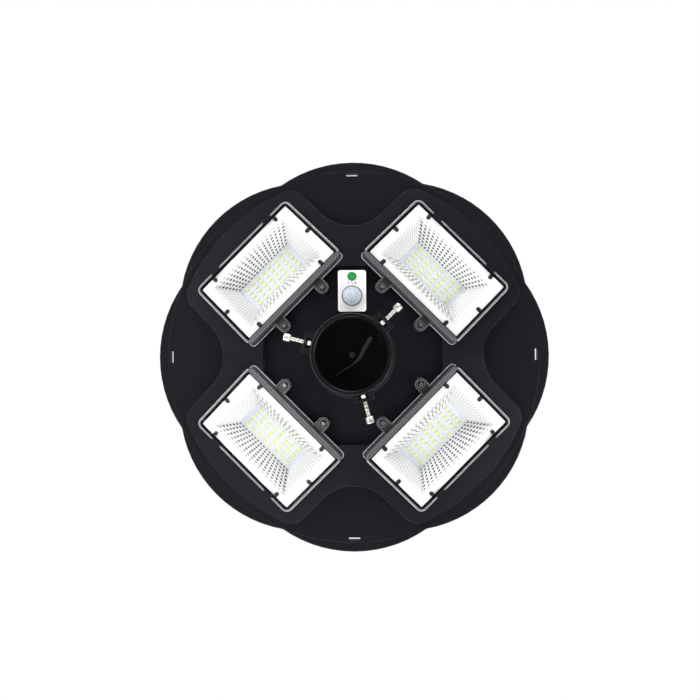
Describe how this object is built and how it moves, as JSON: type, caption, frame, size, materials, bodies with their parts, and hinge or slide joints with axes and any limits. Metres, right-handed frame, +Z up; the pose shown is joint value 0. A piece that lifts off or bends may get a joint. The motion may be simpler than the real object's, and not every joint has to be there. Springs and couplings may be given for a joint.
{
  "type": "solar street light head",
  "caption": "Saucer-shaped solar street light head with a pole collar, clamp screws, angled LED modules, a motion sensor and a solar panel on top.",
  "frame": {"origin": "centre of the pole collar's mouth, the lowest point of the lamp head", "axes": "+Z up along the pole, out of the solar panel; the sensor plate is on the -Y side"},
  "size_m": [0.45, 0.45, 0.112],
  "materials": {
    "black_plastic": "satin moulded black",
    "collar_plastic": "satin moulded black, a little smoother",
    "solar_cells": "dark blue cells under a clear laminate",
    "clear_cover": "clear moulded cover",
    "reflector": "bright faceted reflector",
    "led_board": "pale blue board with yellow light chips",
    "steel": "bright zinc-plated steel",
    "white_label": "white label plate",
    "lens_plastic": "milky moulded lens",
    "green_button": "green moulded button",
    "grey_lead": "dark grey flat lead"
  },
  "bodies": {
    "lamp_head": {"top_shell": "black_plastic", "solar_panel": "solar_cells", "bottom_shell": "black_plastic", "pole_collar": "collar_plastic", "clamp_nut_1": "steel", "clamp_nut_2": "steel", "clamp_nut_3": "steel", "led_cover_1": "clear_cover", "led_cover_2": "clear_cover", "led_cover_3": "clear_cover", "led_cover_4": "clear_cover", "reflector_1": "reflector", "reflector_2": "reflector", "reflector_3": "reflector", "reflector_4": "reflector", "led_board_1": "led_board", "led_board_2": "led_board", "led_board_3": "led_board", "led_board_4": "led_board", "cover_screws_1": "steel", "cover_screws_2": "steel", "cover_screws_3": "steel", "cover_screws_4": "steel", "sensor_plate": "white_label", "sensor_lens": "lens_plastic", "ceiling_screw": "steel", "socket_lead": "grey_lead"},
    "clamp_screw_1": {"clamp_screw_1": "steel"},
    "clamp_screw_2": {"clamp_screw_2": "steel"},
    "clamp_screw_3": {"clamp_screw_3": "steel"},
    "power_button": {"power_button": "green_button"}
  },
  "joints": [
    {"name": "clamp_screw_1_travel", "type": "slide", "parent": "lamp_head", "child": "clamp_screw_1", "axis": [-0.7071, 0.7071, 0], "range_m": [0, 0.01]},
    {"name": "clamp_screw_2_travel", "type": "slide", "parent": "lamp_head", "child": "clamp_screw_2", "axis": [0.9659, 0.2588, 0], "range_m": [0, 0.01]},
    {"name": "clamp_screw_3_travel", "type": "slide", "parent": "lamp_head", "child": "clamp_screw_3", "axis": [-0.2588, -0.9659, 0], "range_m": [0, 0.01]},
    {"name": "power_button_press", "type": "slide", "parent": "lamp_head", "child": "power_button", "axis": [0, 0, 1], "range_m": [0, 0.0012], "stiffness_N_per_m": 400}
  ]
}
